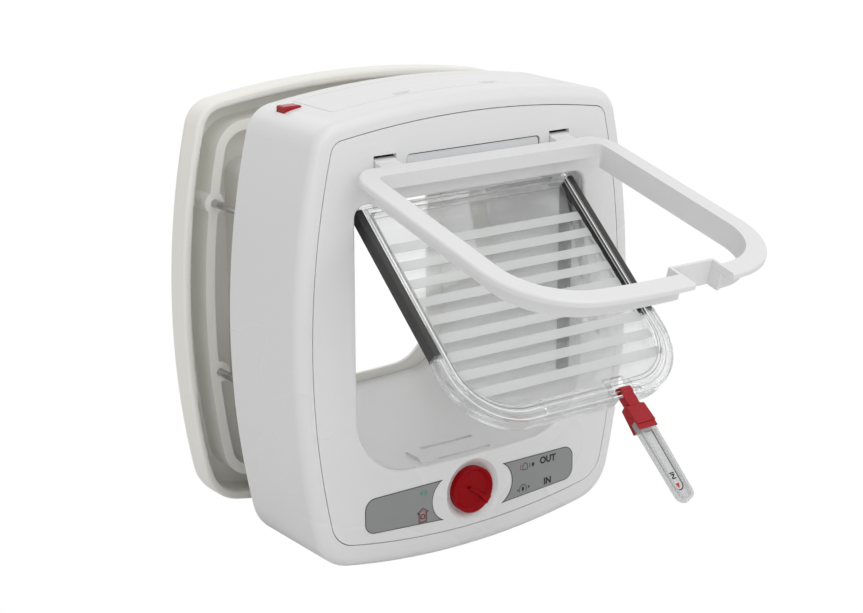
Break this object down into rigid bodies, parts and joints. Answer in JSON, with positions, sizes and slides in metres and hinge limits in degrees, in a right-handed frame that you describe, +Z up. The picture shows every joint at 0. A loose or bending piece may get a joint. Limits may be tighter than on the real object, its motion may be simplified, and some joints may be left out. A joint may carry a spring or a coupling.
{
  "type": "cat flap",
  "caption": "Cat flap for a door: rounded white casing with a battery top and knob lock, clear hinged flap with an indicator, lift ring, tunnel and rear frame.",
  "frame": {"origin": "bottom centre of the box round the whole part, with the ring and flap raised", "axes": "+X across the door to the right as seen from the front, +Y from the front casing through the door to the rear frame, +Z up"},
  "size_m": [0.232, 0.2882, 0.2553],
  "materials": {
    "case_white": "glossy white moulding",
    "ring_white": "glossy white moulding",
    "tunnel_white": "satin white moulding",
    "frame_cream": "creamy white moulding",
    "inner_white": "plain inner moulding",
    "red": "glossy red moulding",
    "clear": "clear moulding with frosted bands",
    "strip_black": "soft black strip",
    "label_grey": "grey printed plate",
    "steel": "plain steel",
    "board_green": "circuit board",
    "black": "plain black",
    "copper": "wound copper wire",
    "cell": "cell can"
  },
  "bodies": {
    "case": {"front_bezel": "case_white", "front_panel": "case_white", "housing": "case_white", "battery_lid": "case_white", "floor_catch": "case_white", "tunnel": "tunnel_white", "rear_frame": "frame_cream", "lock_guide": "inner_white", "battery_tray": "inner_white", "board_bracket": "inner_white", "tunnel_seal_right": "strip_black", "tunnel_seal_left": "strip_black", "label_right": "label_grey", "label_left": "label_grey", "ring_pin_right": "steel", "ring_pin_left": "steel", "door_screw_1": "steel", "door_screw_2": "steel", "door_screw_3": "steel", "door_screw_4": "steel", "circuit_board": "board_green", "learning_switch": "black", "reader_coil": "copper", "battery_cell_1": "cell", "battery_cell_2": "cell", "battery_cell_3": "cell", "battery_cell_4": "cell"},
    "lift_ring": {"lift_ring": "ring_white"},
    "flap": {"flap_panel": "clear", "flap_strip_right": "strip_black", "flap_strip_left": "strip_black", "flap_pin_right": "steel", "flap_pin_left": "steel", "indicator_pin": "clear"},
    "indicator": {"indicator_clip": "red", "indicator_lever": "clear"},
    "knob": {"knob": "red", "knob_cam": "inner_white"},
    "front_lock": {"front_lock": "case_white"},
    "rear_lock": {"rear_lock": "case_white"},
    "button": {"learning_button": "red"}
  },
  "joints": [
    {"name": "ring_swing", "type": "hinge", "parent": "case", "child": "lift_ring", "pos_m": [0, 0.01726, 0.21827], "axis": [1, 0, 0], "range_deg": [-12, 75.6]},
    {"name": "flap_swing", "type": "hinge", "parent": "case", "child": "flap", "pos_m": [0, 0.02856, 0.20405], "axis": [1, 0, 0], "range_deg": [-7.7, 48.4]},
    {"name": "indicator_swing", "type": "hinge", "parent": "flap", "child": "indicator", "pos_m": [0.025, -0.0793, 0.1109], "axis": [1, 0, 0], "range_deg": [-82.1, 13.1]},
    {"name": "knob_turn", "type": "hinge", "parent": "case", "child": "knob", "pos_m": [0, 0.01406, 0.0337], "axis": [0, -1, 0], "range_deg": [0, 254]},
    {"name": "front_lock_slide", "type": "slide", "parent": "case", "child": "front_lock", "axis": [0, 0, 1], "range_m": [0, 0.0058]},
    {"name": "rear_lock_slide", "type": "slide", "parent": "case", "child": "rear_lock", "axis": [0, 0, 1], "range_m": [0, 0.0058]},
    {"name": "button_press", "type": "slide", "parent": "case", "child": "button", "axis": [0, 0, -1], "range_m": [0, 0.0008], "stiffness_N_per_m": 300}
  ],
  "couplings": [
    {"joint": "flap_swing", "follows": "ring_swing", "ratio": 0.63995},
    {"joint": "indicator_swing", "follows": "ring_swing", "ratio": -1.0847}
  ]
}
